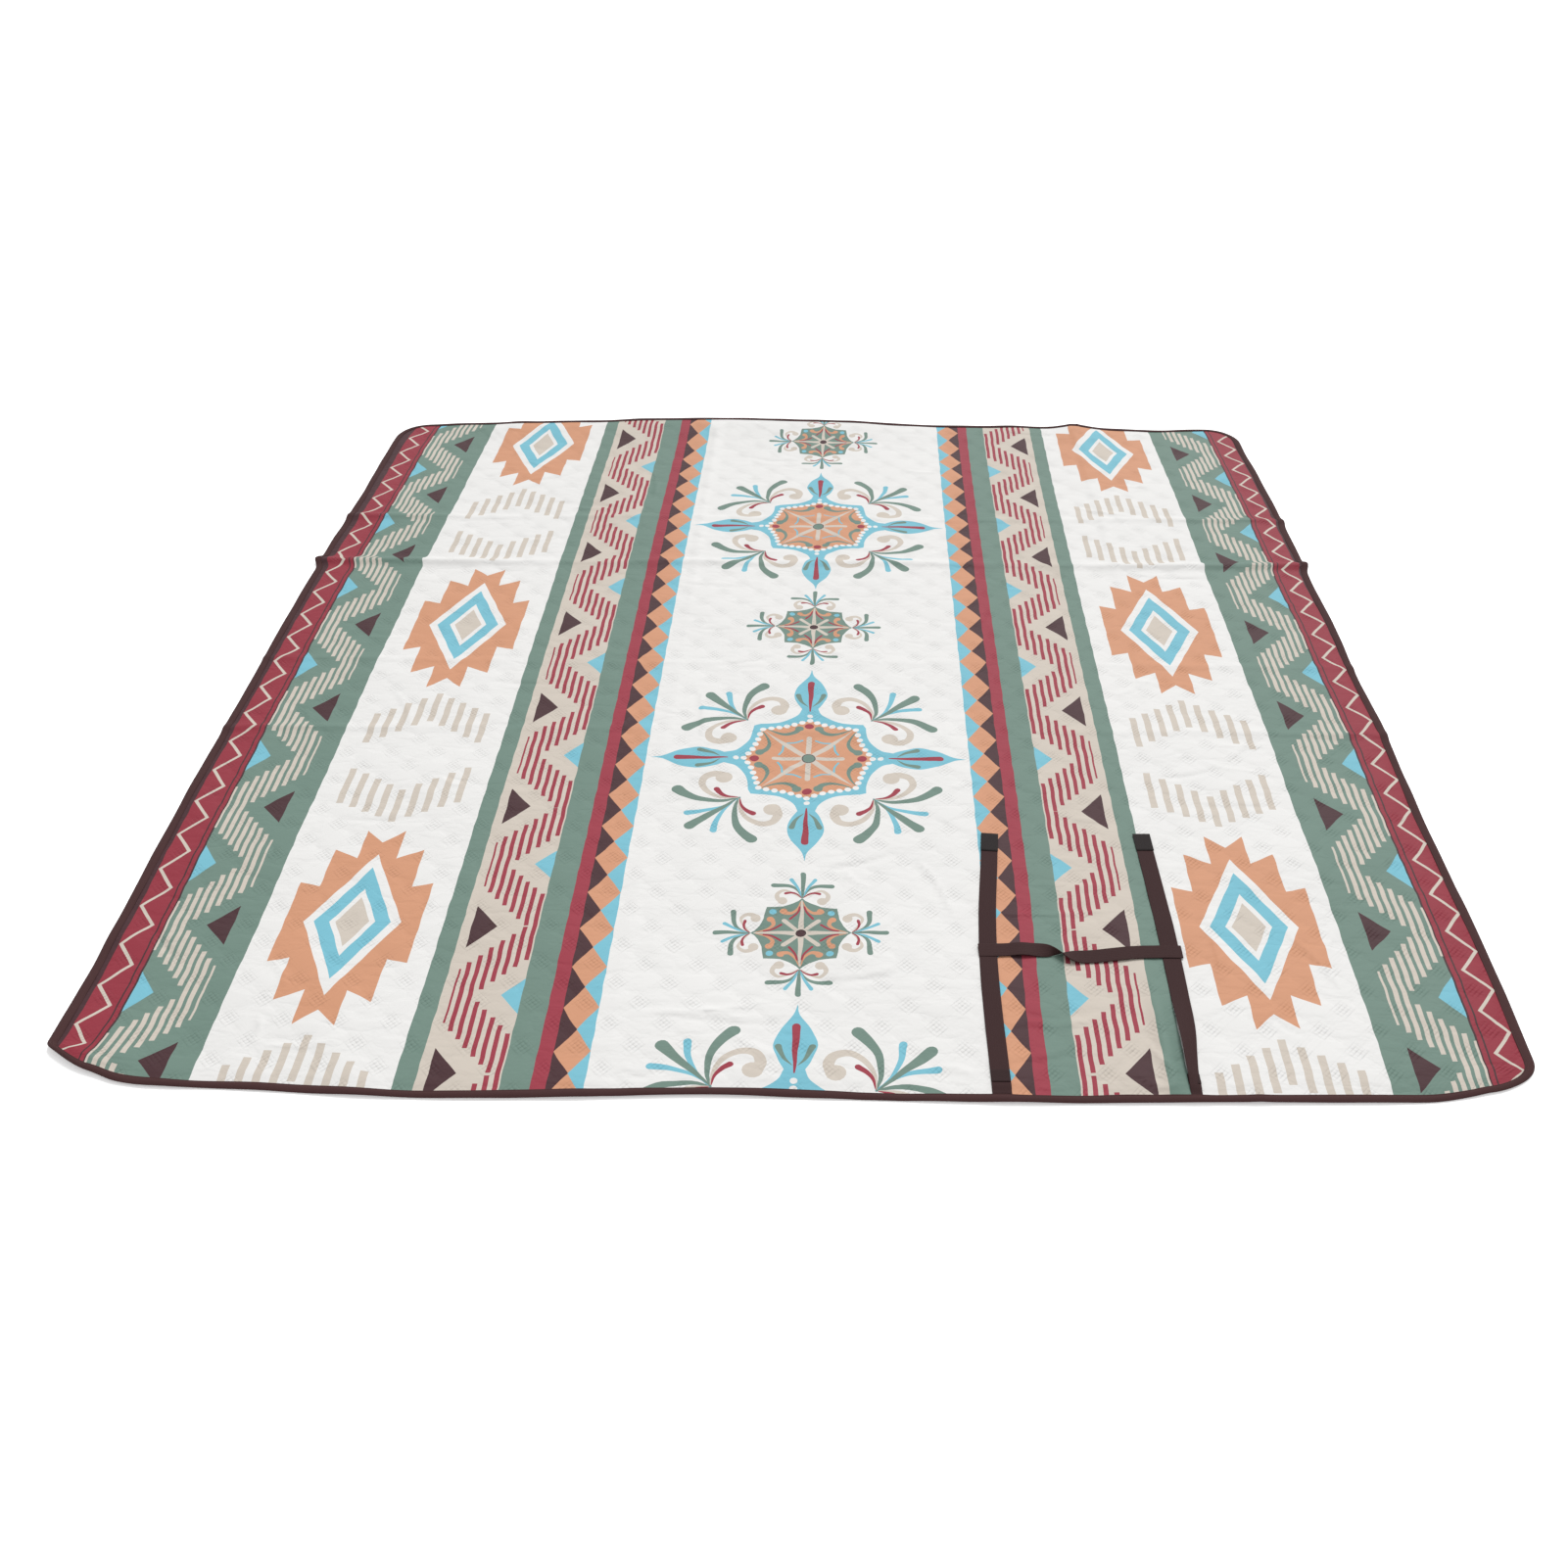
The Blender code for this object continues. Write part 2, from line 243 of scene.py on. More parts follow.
def relief(x, y):
    """How far the whole quilt is raised off the floor."""
    side = smooth((np.abs(x) - 0.45) / 0.55)
    total = 0.0010 + wave_field(x, y)
    for place, height, width in CROSS_FOLDS:
        wander = 0.004 * np.sin(5.1 * x + 40 * place) + 0.0015 * np.sin(19 * x)
        share = 0.30 + 0.25 * np.sin(7 * x + 9 * place) ** 2 + 0.60 * side
        total += height * share * bell(y - place - wander, width)
    for place, height, width in LENGTH_FOLDS:
        wander = 0.004 * np.sin(4.3 * y + 20 * place)
        share = 0.12 + 0.25 * np.sin(6 * y + 3 * place) ** 2 + 0.7 * smooth((y - 0.1) / 0.9)
        total += height * share * bell(x - place - wander, width)
    total += curve_value(BACK_RISE, x) * smooth((y - 0.80) / 0.20) ** 2
    # The front-left corner curls up and the edges wave
    total += 0.006 * bell(np.hypot(x + 1.0, y + 1.0), 0.10)
    edge = smooth((np.maximum(np.abs(x), np.abs(y)) - 0.90) / 0.10)
    total += edge * 0.0007 * (1 + np.sin(29 * (x + y) + 3 * np.sin(7 * x - 5 * y)))
    # A ridge stands beside the right strap's foot, and the straps' tails press the quilt flat
    total += 0.0060 * bell(x - 0.512, 0.014) * smooth((-0.74 - y) / 0.12) * smooth((y + 0.995) / 0.03)
    pressed = smooth((x - 0.25) / 0.03) * smooth((0.59 - x) / 0.03)
    pressed *= smooth((y + 0.68) / 0.04) * smooth((-0.44 - y) / 0.04)
    total = total * (1 - 0.75 * pressed) + 0.0008 * pressed
    return np.clip(total, 0.0, HIGHEST_RELIEF)


def quilt_puff(x, y):
    across = np.abs(np.sin(math.pi * (x + y) / QUILT_PITCH))
    back = np.abs(np.sin(math.pi * ((x - y) / QUILT_PITCH - QUILT_SHIFT)))
    return CELL_PUFF * (np.sqrt(across * back + 0.02) - 0.85)


def edge_distance(x, y):
    """Distance inside the blanket's rounded outline."""
    inner = HALF_SIDE - CORNER_RADIUS
    ax, ay = np.abs(x) - inner, np.abs(y) - inner
    outside = np.hypot(np.maximum(ax, 0), np.maximum(ay, 0)) + np.minimum(np.maximum(ax, ay), 0)
    return CORNER_RADIUS - outside


def in_plane(x, y):
    """Where a point of the flat blanket lies in plan."""
    right, left = smooth((x - 0.35) / 0.65), smooth((-x - 0.35) / 0.65)
    back, front = smooth((y - 0.80) / 0.20), smooth((-y - 0.80) / 0.20)
    bump = bell(y - BACK_FOLD_Y, 0.014)
    second = bell(y - 0.55, 0.016)
    moved_x = (
        x
        + right**2 * (curve_value(RIGHT_DRIFT, y) + 0.005 * bump + 0.003 * second)
        - left**2 * (curve_value(LEFT_DRIFT, y) + 0.008 * bump)
    )
    moved_y = y + back * curve_value(BACK_DRIFT, x) - front * curve_value(FRONT_DRIFT, x)
    moved_y += smooth((-y - 0.915) / 0.085) * curve_value(CORNER_PULL, x)
    return moved_x, moved_y


def cover_surface(x, y):
    moved_x, moved_y = in_plane(x, y)
    inside = smooth((edge_distance(x, y) - 0.012) / 0.016)
    z = COVER_LEVEL + relief(x, y) - 0.0016 * (1 - inside)
    z += inside * (quilt_puff(x, y) + wrinkle_field(x, y))
    return np.stack([moved_x, moved_y, z], 1)


def backing_surface(x, y):
    moved_x, moved_y = in_plane(x, y)
    inside = smooth((edge_distance(x, y) - 0.012) / 0.016)
    z = BACKING_LEVEL + relief(x, y) - 0.25 * inside * quilt_puff(x, y)
    return np.stack([moved_x, moved_y, z], 1)


def surface_normals(surface, x, y, reach=0.0012):
    along_x = surface(x + reach, y) - surface(x - reach, y)
    along_y = surface(x, y + reach) - surface(x, y - reach)
    normals = np.cross(along_x, along_y)
    return normals / np.linalg.norm(normals, axis=1)[:, None]


# -------------------------------- the printed shapes
shapes = []


def split_edges(points, step):
    made = []
    for a, b in zip(points, np.roll(points, -1, 0)):
        count = max(1, math.ceil(np.linalg.norm(b - a) / step))
        made += [a + (b - a) * i / count for i in range(count)]
    return np.array(made)


def as_printed(points):
    """The print isn't quite square to the cloth: its rows sag towards the sides and at the back."""
    x, y = points.T
    # How far each point moves to the right and to the back, in millimetres
    right = 1.3 - 1.3 * y + 1.9 * y**2 + 3.7 * y**3
    right -= (6.2 * y + 6.9 * y**2 - 0.4) * x + (2.7 + 0.4 * y) * x**2 + 8.4 * x**3
    back = 1.9 + 9.6 * y - 8.1 * y**2 - 30 * y**3
    back -= (2.3 + 10.5 * y) * x + (17.5 + 25.3 * y) * x**2 - 0.9 * x**3
    # Further out at the back corners, and further left by the straps and at the front-left corner
    right += 7 * x**5 * smooth((y - 0.55) / 0.45)
    right -= 7 * bell(x - 0.40, 0.16) * smooth((-0.55 - y) / 0.35)
    right -= 14 * bell(x + 0.92, 0.055) * smooth((-0.89 - y) / 0.11)
    # The quilting draws the cloth in, so that no printed edge stays quite straight
    right += 0.42 * np.sin(math.tau * (y / 0.061 + np.sin(7 * x)))
    right += 0.28 * np.sin(math.tau * (y / 0.037 + 5.1 * x))
    back += 0.40 * np.sin(math.tau * (x / 0.067 + y / 0.31))
    back += 0.25 * np.sin(math.tau * (x / 0.041 - 2.3 * y))
    return points + 0.001 * np.stack([right, back], 1)


def paint(points, colour):
    """Later shapes lie over earlier ones."""
    shapes.append((as_printed(split_edges(np.array(points, float), 0.012)), colour))


def rectangle(x0, x1, y0, y1):
    return [(x0, y0), (x1, y0), (x1, y1), (x0, y1)]


def diamond(x, y, half_width, half_height):
    return [(x - half_width, y), (x, y - half_height), (x + half_width, y), (x, y + half_height)]


def disc(x, y, radius, sides=14):
    turns = [math.tau * (i + 0.5) / sides for i in range(sides)]
    return [(x + radius * math.cos(t), y + radius * math.sin(t)) for t in turns]


def stroke(points, start_width, end_width, power=1.0, steps=4):
    """A brush stroke along a smooth curve, from a thin start to a round end."""
    line = curve_through(points, steps)
    along = np.gradient(line, axis=0)
    along /= np.linalg.norm(along, axis=1)[:, None]
    side = np.stack([-along[:, 1], along[:, 0]], 1)
    share = np.linspace(0, 1, len(line)) ** power
    half = (start_width + (end_width - start_width) * share)[:, None] / 2
    left, right = line + side * half, line - side * half
    cap = [
        line[-1] + end_width / 2 * (side[-1] * math.cos(t) + along[-1] * math.sin(t))
        for t in np.linspace(0, math.pi, 7)[1:-1]
    ]
    return np.concatenate([left, cap, right[::-1]])


def placed(points, centre, turn=0, mirror=1):
    """Points about a motif's centre, mirrored left to right, then turned by quarter turns."""
    points = np.array(points, float) * (mirror, 1)
    for _ in range(turn):
        points = np.stack([points[:, 1], -points[:, 0]], 1)
    return points + centre


def row_y(n):
    """Height of row n of the repeating print. Its repeat shortens a little towards the back."""
    return -0.703 + 0.8325 * n - 0.0095 * n * n


def band_y(n):
    """Height of row n in the bands, a little behind the same row of the medallions."""
    return row_y(n) + BAND_SHIFT


def rows(share, offset=0.0):
    """Every row of a repeat that divides the main one, past both ends of the blanket."""
    first, last = math.floor(FIRST_ROW / share) - 1, math.ceil(LAST_ROW / share) + 1
    return [(i + offset) * share for i in range(first, last)]


def strip(side, middle, near, far, colour):
    x0, x1 = sorted((middle + side * near, middle + side * far))
    paint(rectangle(x0, x1, -1.1, 1.1), colour)


def bar_zigzag(side, middle, columns, rows_of_vertex, first_step, half_length, colour):
    """Upright bars in columns of (distance, width). Each column's bars lie further from the vertex row."""
    for n in rows_of_vertex:
        for k, (distance, width) in enumerate(columns):
            x = middle + side * distance
            for way in (-1, 1):
                y = band_y(n) + way * (first_step + 0.0144 * k)
                paint(rectangle(x - width / 2, x + width / 2, y - half_length, y + half_length), colour)


def triangle_column(side, middle, base, apex, half_height, rows_of_triangle, colour):
    for n in rows_of_triangle:
        y = band_y(n)
        b, a = middle + side * base, middle + side * apex
        paint([(b, y - half_height), (a, y), (b, y + half_height)], colour)


def paint_bands(side):
    strip(side, MIDDLE_X, 0.2743, 0.2995, "turquoise")
    strip(side, MIDDLE_X, 0.2995, 0.3247, "print_brown")
    for n in rows(0.0945, -0.05):
        paint(diamond(MIDDLE_X + side * 0.2995, band_y(n), 0.0252, 0.0390), "terracotta")
    strip(side, MIDDLE_X, 0.3247, 0.346, "burgundy")
    strip(side, MIDDLE_X, 0.346, 0.3865, "sage")
    strip(side, MIDDLE_X, 0.3865, 0.500, "beige")
    strip(side, MIDDLE_X, 0.500, 0.5285, "sage")
    triangle_column(side, MIDDLE_X, 0.4855, 0.4475, 0.0445, rows(1 / 3), "print_brown")
    triangle_column(side, MIDDLE_X, 0.3865, 0.416, 0.0330, rows(1 / 3, 0.5), "turquoise")
    columns = [(0.4843, 0.0030)] + [(0.4733 - 0.0135 * k, 0.0067) for k in range(7)]
    bar_zigzag(side, MIDDLE_X, columns, rows(1 / 3, 0.5), 0.0095, 0.0415, "burgundy")

    strip(side, OUTER_MIDDLE_X, 0.7975, 0.9335, "sage")
    strip(side, OUTER_MIDDLE_X, 0.9335, 1.1, "print_brown")
    strip(side, OUTER_MIDDLE_X, 0.9365, 0.9430, "deep_burgundy")
    strip(side, OUTER_MIDDLE_X, 0.9455, 0.9895, "deep_burgundy")
    triangle_column(side, OUTER_MIDDLE_X, 0.8350, 0.8725, 0.0420, rows(1 / 3), "print_brown")
    triangle_column(side, OUTER_MIDDLE_X, 0.9335, 0.9035, 0.0420, rows(1 / 3, 0.5), "turquoise")
    columns = [(0.9325 - 0.0124 * k, 0.0036 if k in (0, 8) else 0.0072) for k in range(9)]
    bar_zigzag(side, OUTER_MIDDLE_X, columns, rows(1 / 3), 0.011, 0.042, "beige")

    zigzag = []
    for n in rows(0.1):
        zigzag.append((0.9548, band_y(n)))
        zigzag.append((0.9860, band_y(n + 0.05)))
    near = [(OUTER_MIDDLE_X + side * (d - 0.0031), y) for d, y in zigzag]
    far = [(OUTER_MIDDLE_X + side * (d + 0.0031), y) for d, y in zigzag]
    paint(near + far[::-1], "beige")


def paint_side_motifs(side):
    """Stepped diamonds with rows of bars above and below, down the white side band."""
    x = MIDDLE_X - 0.0005 + side * 0.664
    quarter = [(0, 0.180), (0.030, 0.208), (0.030, 0.142), (0.069, 0.163), (0.070, 0.0775), (0.101, 0.0865)]
    right = quarter + [(px, -py) for px, py in quarter[::-1]]
    outline = right + [(-px, py) for px, py in right[::-1]]
    nested = [
        ("white", 0.0725, 0.152),
        ("turquoise", 0.057, 0.120),
        ("white", 0.034, 0.072),
        ("beige", 0.025, 0.053),
    ]
    for y in (-0.685, 0.1255, 0.920, -1.497):
        paint(np.array(outline) + (x, y), "terracotta")
        for colour, half_width, half_height in nested:
            paint(diamond(x, y, half_width, half_height), colour)
        for k in range(-4, 5):
            bar_x = x + 0.0237 * k
            top = y - 0.2275 - 0.015 * abs(k)
            paint(rectangle(bar_x - 0.0056, bar_x + 0.0056, top - 0.083, top), "beige")
            low = y + 0.2325 + 0.0112 * abs(k)
            high = y + 0.3100 + 0.0148 * abs(k)
            paint(rectangle(bar_x - 0.0056, bar_x + 0.0056, low, high), "beige")


# Brush strokes of a big medallion's corner: curve, start width, end width, power, colour
SCROLL = [
    (0.108, 0.110), (0.1055, 0.137), (0.0925, 0.160), (0.072, 0.172), (0.053, 0.168), (0.0450, 0.153),
    (0.0480, 0.140),
]
LONG_LEAF = [(0.107, 0.106), (0.1145, 0.133), (0.111, 0.170), (0.099, 0.194), (0.084, 0.211)]
CORNER_SPRAY = [
    ([(0.108, 0.106), (0.129, 0.133), (0.141, 0.163), (0.145, 0.190)], 0.001, 0.0115, 0.9, "turquoise"),
    (LONG_LEAF, 0.001, 0.0190, 0.8, "sage"),
    (SCROLL, 0.001, 0.0175, 0.65, "beige"),
    ([(0.107, 0.1095), (0.1040, 0.127), (0.0955, 0.1395), (0.0845, 0.1475)], 0.001, 0.0100, 0.8, "burgundy"),
]
LEAF = [(0, 0.264), (0.0045, 0.243), (0.0205, 0.2165), (0.0296, 0.186), (0.0225, 0.158), (0.0140, 0.141)]
NECK = [(0.0140, 0.141), (0.0215, 0.122), (0.043, 0.105), (0.064, 0.098), (0.092, 0.096)]
STAR = [(0, 0.1075), (0.016, 0.099), (0.030, 0.093), (0.050, 0.087), (0.079, 0.081)]
CURL = [(0.073, 0.0795), (0.056, 0.0705), (0.039, 0.0670), (0.0245, 0.0720), (0.0175, 0.0815)]
PETAL = [(0.0030, 0.0100), (0.030, 0.0370), (0.0745, 0.0765), (0.0370, 0.030), (0.0100, 0.0030)]
BEADS = 48


def both_ways(points):
    """Points with their mirror across the diagonal, for one quarter of a medallion."""
    return list(points) + [(b, a) for a, b in points[::-1][1:]]


def whole_outline(quarter):
    return np.concatenate([placed(quarter[:-1], (0, 0), turn) for turn in range(4)])


def paint_big_medallion(centre):
    def put(points, colour, turn=0, mirror=1):
        paint(placed(points, (0, 0), turn, mirror) * (1.015, 0.985) + centre, colour)

    half = [tuple(p) for p in np.concatenate([curve_through(LEAF, 4), curve_through(NECK, 4)[1:]])]
    put(whole_outline(both_ways(half)), "turquoise")
    star = whole_outline(both_ways(STAR))
    put(star, "terracotta")
    steps = np.linalg.norm(np.roll(star, -1, 0) - star, axis=1)
    reach = np.concatenate([[0], np.cumsum(steps)])
    closed = np.concatenate([star, star[:1]])
    for at in np.linspace(0, reach[-1], BEADS + 1)[:-1]:
        put(disc(*[np.interp(at, reach, closed[:, k]) for k in (0, 1)], 0.0055, 10), "white")
    for turn in range(4):
        put(disc(0, 0.1205, 0.0052, 10), "white", turn)
        put(stroke([(0, 0.134), (0, 0.175), (0, 0.2200)], 0.002, 0.0120, 0.8), "burgundy", turn)
        for mirror in (-1, 1):
            vein = stroke([(0.004, 0.148), (0.0150, 0.162), (0.0225, 0.183)], 0.001, 0.0095)
            put(vein, "sage", turn, mirror)
            arc = stroke([(0.010, 0.051), (0.023, 0.044), (0.037, 0.043)], 0.0034, 0.0034)
            put(arc, "turquoise", turn, mirror)
            put(stroke(CURL, 0.0015, 0.0115), "sage", turn, mirror)
            put(disc(0.0170, 0.0825, 0.0078, 12), "sage", turn, mirror)
        put(stroke([(0, 0), (0, 0.03), (0, 0.057)], 0.0085, 0.0092), "beige", turn)
        put(PETAL, "beige", turn)
        put(disc(0, 0.090, 0.0080), "burgundy", turn)
        # The spray at each corner is the same on both sides of its diagonal
        for points, start, end, power, colour in CORNER_SPRAY:
            shape = stroke(points, start, end, power)
            put(shape, colour, turn)
            put(shape[:, ::-1], colour, turn)
        for x, y in ((0.0545, 0.1370), (0.1370, 0.0545)):
            put(disc(x, y, 0.0142), "beige", turn)
        put(stroke([(0.108, 0.107), (0.150, 0.147), (0.183, 0.178)], 0.001, 0.0185, 0.8), "sage", turn)
    paint(disc(*centre, 0.0120, 16), "print_brown")
    paint(disc(*centre, 0.0106, 16), "sage")


# The same for a small medallion
SMALL_SCROLL = [
    (0.001, 0.0745), (0.0130, 0.0835), (0.0285, 0.0905), (0.038, 0.0820), (0.0365, 0.0720), (0.031, 0.068),
]
SMALL_STAR = [(0, 0.0745), (0.005, 0.0685), (0.014, 0.0625), (0.029, 0.0560), (0.0535, 0.0530)]
SMALL_SPRAY = [
    ([(0.0015, 0.067), (0.0065, 0.0515), (0.0160, 0.0415), (0.0265, 0.043)], 0.001, 0.008, 1.0, "terracotta"),
    ([(0.0030, 0.056), (0.0070, 0.0425), (0.0165, 0.0295)], 0.0030, 0.0038, 1.0, "burgundy"),
    ([(0, 0.0745), (0.0085, 0.092), (0.022, 0.1005), (0.044, 0.1015)], 0.001, 0.0088, 0.8, "sage"),
    ([(0, 0.0745), (0.007, 0.095), (0.0185, 0.114)], 0.001, 0.0060, 0.8, "turquoise"),
    (SMALL_SCROLL, 0.001, 0.0095, 0.8, "beige"),
    ([(0.001, 0.0750), (0.008, 0.0825), (0.0165, 0.0855), (0.0255, 0.0840)], 0.001, 0.0050, 0.8, "burgundy"),
]


def paint_small_medallion(centre):
    def put(points, colour, turn=0, mirror=1):
        paint(placed(points, centre, turn, mirror), colour)

    put(whole_outline(both_ways(SMALL_STAR)), "sage")
    for turn in range(4):
        for mirror in (-1, 1):
            for points, start, end, power, colour in SMALL_SPRAY:
                put(stroke(points, start, end, power), colour, turn, mirror)
            put(disc(0.0280, 0.0458, 0.0056, 12), "terracotta", turn, mirror)
            put(disc(0.0300, 0.0680, 0.0078, 12), "beige", turn, mirror)
        put(stroke([(0, 0.0745), (0, 0.100), (0, 0.1255)], 0.002, 0.0088, 0.7), "sage", turn)
        put(disc(0.0440, 0.0430, 0.0056, 12), "turquoise", turn)
        put([(0.0050, 0.0), (0.0012, 0.0695), (-0.0012, 0.0695), (-0.0050, 0.0)], "beige", turn)
        put(stroke([(0.005, 0.005), (0.013, 0.013), (0.0250, 0.0250)], 0.006, 0.0078), "beige", turn)
    paint(disc(*centre, 0.0080, 14), "black_ink")
    paint(disc(*centre, 0.0070, 14), "print_brown")


for side in (-1, 1):
    paint_bands(side)
    paint_side_motifs(side)
for y in (-0.703, 0.120, 0.924):
    paint_small_medallion((MEDALLION_X, y))
for y in (-0.286, 0.516, -1.107):
    paint_big_medallion((MEDALLION_X, y))


# -------------------------------- meshes
def outline_points(inset, step):
    """The blanket's rounded outline, moved in, with each point's inward direction."""
    inner, radius = HALF_SIDE - CORNER_RADIUS, CORNER_RADIUS
    places, inward = [], []
    sides = [((1, 0), (0, -1)), ((0, 1), (1, 0)), ((-1, 0), (0, 1)), ((0, -1), (-1, 0))]
    count = int(2 * inner / step)
    for along, out in sides:
        along, out = np.array(along, float), np.array(out, float)
        for i in range(count):
            places.append(out * HALF_SIDE + along * inner * (2 * i / count - 1))
            inward.append(-out)
        turns = int(radius * math.pi / 2 / step * 1.6) + 2
        for i in range(turns):
            t = math.pi / 2 * i / turns
            direction = out * math.cos(t) + along * math.sin(t)
            places.append((out + along) * inner + direction * radius)
            inward.append(-direction)
    places, inward = np.array(places), np.array(inward)
    return places + inward * inset, inward


def triangulate(outlines, step, inset):
    """Triangles over the blanket's flat shape that follow every given outline."""
    lines = np.arange(-HALF_SIDE, HALF_SIDE + step / 2, step)
    folds = (FRONT_FOLD_Y, BACK_FOLD_Y)
    near_folds = [fold + d for fold in folds for d in np.arange(-0.012, 0.0121, 0.002)]
    rows_y = [v for v in lines if min(abs(v - fold) for fold in folds) > 0.0135]
    grid_x, grid_y = np.meshgrid(lines, np.array(rows_y + near_folds))
    flat = np.stack([grid_x.ravel(), grid_y.ravel()], 1)
    flat += chance.uniform(-0.12, 0.12, flat.shape) * (step, 0.0)
    flat = flat[edge_distance(flat[:, 0], flat[:, 1]) > inset + step * 0.5]
    points, edges = [flat], []
    base = len(flat)
    edge_loop, _ = outline_points(inset, step)
    middle = np.stack([np.linspace(-1.05, 1.05, int(2.1 / step)), np.zeros(int(2.1 / step))], 1)
    printed = [(split_edges(outline, step), True) for outline in outlines]
    for loop, closed in [(edge_loop, True), (middle, False)] + printed:
        count = len(loop)
        points.append(loop)
        ends = range(count if closed else count - 1)
        edges += [(base + i, base + (i + 1) % count) for i in ends]
        base += count
    points = np.concatenate(points)
    made = delaunay_2d_cdt([Vector(p) for p in points.tolist()], edges, [], 0, 1e-5, False)
    flat = np.array([tuple(v) for v in made[0]])
    faces = np.array([f for f in made[2] if len(f) == 3])
    centres = flat[faces].mean(1)
    faces = faces[edge_distance(centres[:, 0], centres[:, 1]) > inset]
    return flat, faces


def colours_of(flat, faces, names):
    """For each triangle, the number of the colour on top of it."""
    centres = flat[faces].mean(1)
    order = np.argsort(centres[:, 1])
    sorted_centres = centres[order]
    chosen = np.zeros(len(faces), np.int32)
    for points, colour in shapes:
        low, high = points.min(0), points.max(0)
        first, last = np.searchsorted(sorted_centres[:, 1], (low[1], high[1]))
        some = sorted_centres[first:last]
        near = np.flatnonzero((some[:, 0] >= low[0]) & (some[:, 0] <= high[0]))
        if not len(near):
            continue
        x, y = some[near, 0][:, None], some[near, 1][:, None]
        ax, ay = points[:, 0], points[:, 1]
        bx, by = np.roll(ax, -1), np.roll(ay, -1)
        crosses = (ay > y) != (by > y)
        with np.errstate(divide="ignore", invalid="ignore"):
            at = ax + (y - ay) * (bx - ax) / (by - ay)
        inside = (crosses & (x < at)).sum(1) % 2 == 1
        chosen[order[first + near[inside]]] = names.index(colour)
    return chosen


def vertex_normals(points, faces):
    """Smooth normals of a mesh of triangles or quads."""
    corners = points[faces]
    last = corners.shape[1] - 1
    face = np.cross(corners[:, 1] - corners[:, 0], corners[:, last] - corners[:, 0])
    total = np.zeros_like(points)
    for k in range(faces.shape[1]):
        np.add.at(total, faces[:, k], face)
    return total / np.maximum(np.linalg.norm(total, axis=1), 1e-12)[:, None]


def add_mesh(name, points, faces, flat, materials, numbers=None, normals=None):
    used = np.unique(faces)
    renumber = np.zeros(len(points), int)
    renumber[used] = np.arange(len(used))
    mesh = bpy.data.meshes.new(name)
    mesh.from_pydata(points[used].tolist(), [], renumber[faces].tolist())
    for material in materials:
        mesh.materials.append(material)
    if numbers is not None:
        mesh.polygons.foreach_set("material_index", np.asarray(numbers, np.int32))
    corner = np.empty(len(mesh.loops), np.int32)
    mesh.loops.foreach_get("vertex_index", corner)
    layer = mesh.uv_layers.new(name="Flat")
    layer.data.foreach_set("uv", flat[used][corner].astype(np.float32).ravel())
    mesh.polygons.foreach_set("use_smooth", np.ones(len(mesh.polygons), bool))
    mesh.update()
    if normals is not None:
        mesh.normals_split_custom_set_from_vertices(normals[used].tolist())
    made = bpy.data.objects.new(name, mesh)
    bpy.context.scene.collection.objects.link(made)
    return made


def add_halves(name, points, faces, flat, materials, numbers=None, normals=None):
    """One mesh as a front and a back piece that meet at the middle with the same normals."""
    made = []
    middle = flat[faces].mean(1)[:, 1]
    for word, keep in (("front", middle < 0), ("back", middle >= 0)):
        some = None if numbers is None else numbers[keep]
        made.append(add_mesh(f"{name}_{word}", points, faces[keep], flat, materials, some, normals))
    return made


# -------------------------------- materials
class Nodes:
    """Short ways to add nodes to one material."""

    def __init__(self, name, colour, roughness, sheen=0.0, specular=0.35):
        self.material = bpy.data.materials.new(name)
        self.material.use_nodes = True
        self.tree = self.material.node_tree
        self.shader = self.tree.nodes["Principled BSDF"]
        self.shader.inputs["Base Color"].default_value = colour
        self.shader.inputs["Roughness"].default_value = roughness
        self.shader.inputs["Sheen Weight"].default_value = sheen
        self.shader.inputs["Sheen Roughness"].default_value = 0.5
        self.shader.inputs["Specular IOR Level"].default_value = specular

    def math(self, operation, first, second=None, third=None):
        node = self.tree.nodes.new("ShaderNodeMath")
        node.operation = operation
        for socket, value in zip(node.inputs, (first, second, third)):
            if value is None:
                continue
            if isinstance(value, (int, float)):
                socket.default_value = value
            else:
                self.tree.links.new(value, socket)
        return node.outputs[0]

    def flat_place(self):
        uv = self.tree.nodes.new("ShaderNodeUVMap")
        uv.uv_map = "Flat"
        split = self.tree.nodes.new("ShaderNodeSeparateXYZ")
        self.tree.links.new(uv.outputs["UV"], split.inputs[0])
        return uv.outputs["UV"], split.outputs["X"], split.outputs["Y"]

    def noise(self, place, scale, detail=2.0, stretch=(1, 1, 1), roughness=0.5):
        mapping = self.tree.nodes.new("ShaderNodeMapping")
        mapping.inputs["Scale"].default_value = stretch
        self.tree.links.new(place, mapping.inputs["Vector"])
        node = self.tree.nodes.new("ShaderNodeTexNoise")
        node.inputs["Scale"].default_value = scale
        node.inputs["Detail"].default_value = detail
        node.inputs["Roughness"].default_value = roughness
        self.tree.links.new(mapping.outputs[0], node.inputs["Vector"])
        return node.outputs["Fac"]

    def wave(self, place, period, height):
        """height times a sine of that period."""
        turned = self.math("MULTIPLY", place, math.tau / period)
        return self.math("MULTIPLY", self.math("SINE", turned), height)

    def bump(self, height, strength=1.0):
        node = self.tree.nodes.new("ShaderNodeBump")
        node.inputs["Distance"].default_value = 1.0
        node.inputs["Strength"].default_value = strength
        self.tree.links.new(height, node.inputs["Height"])
        self.tree.links.new(node.outputs["Normal"], self.shader.inputs["Normal"])


def line_offset(nodes, place, pitch):
    """Signed distance to the nearest quilting line. place is measured across the lines."""
    period = pitch / math.sqrt(2)
    shifted = nodes.math("FLOORED_MODULO", nodes.math("ADD", place, period / 2), period)
    return nodes.math("SUBTRACT", shifted, period / 2)


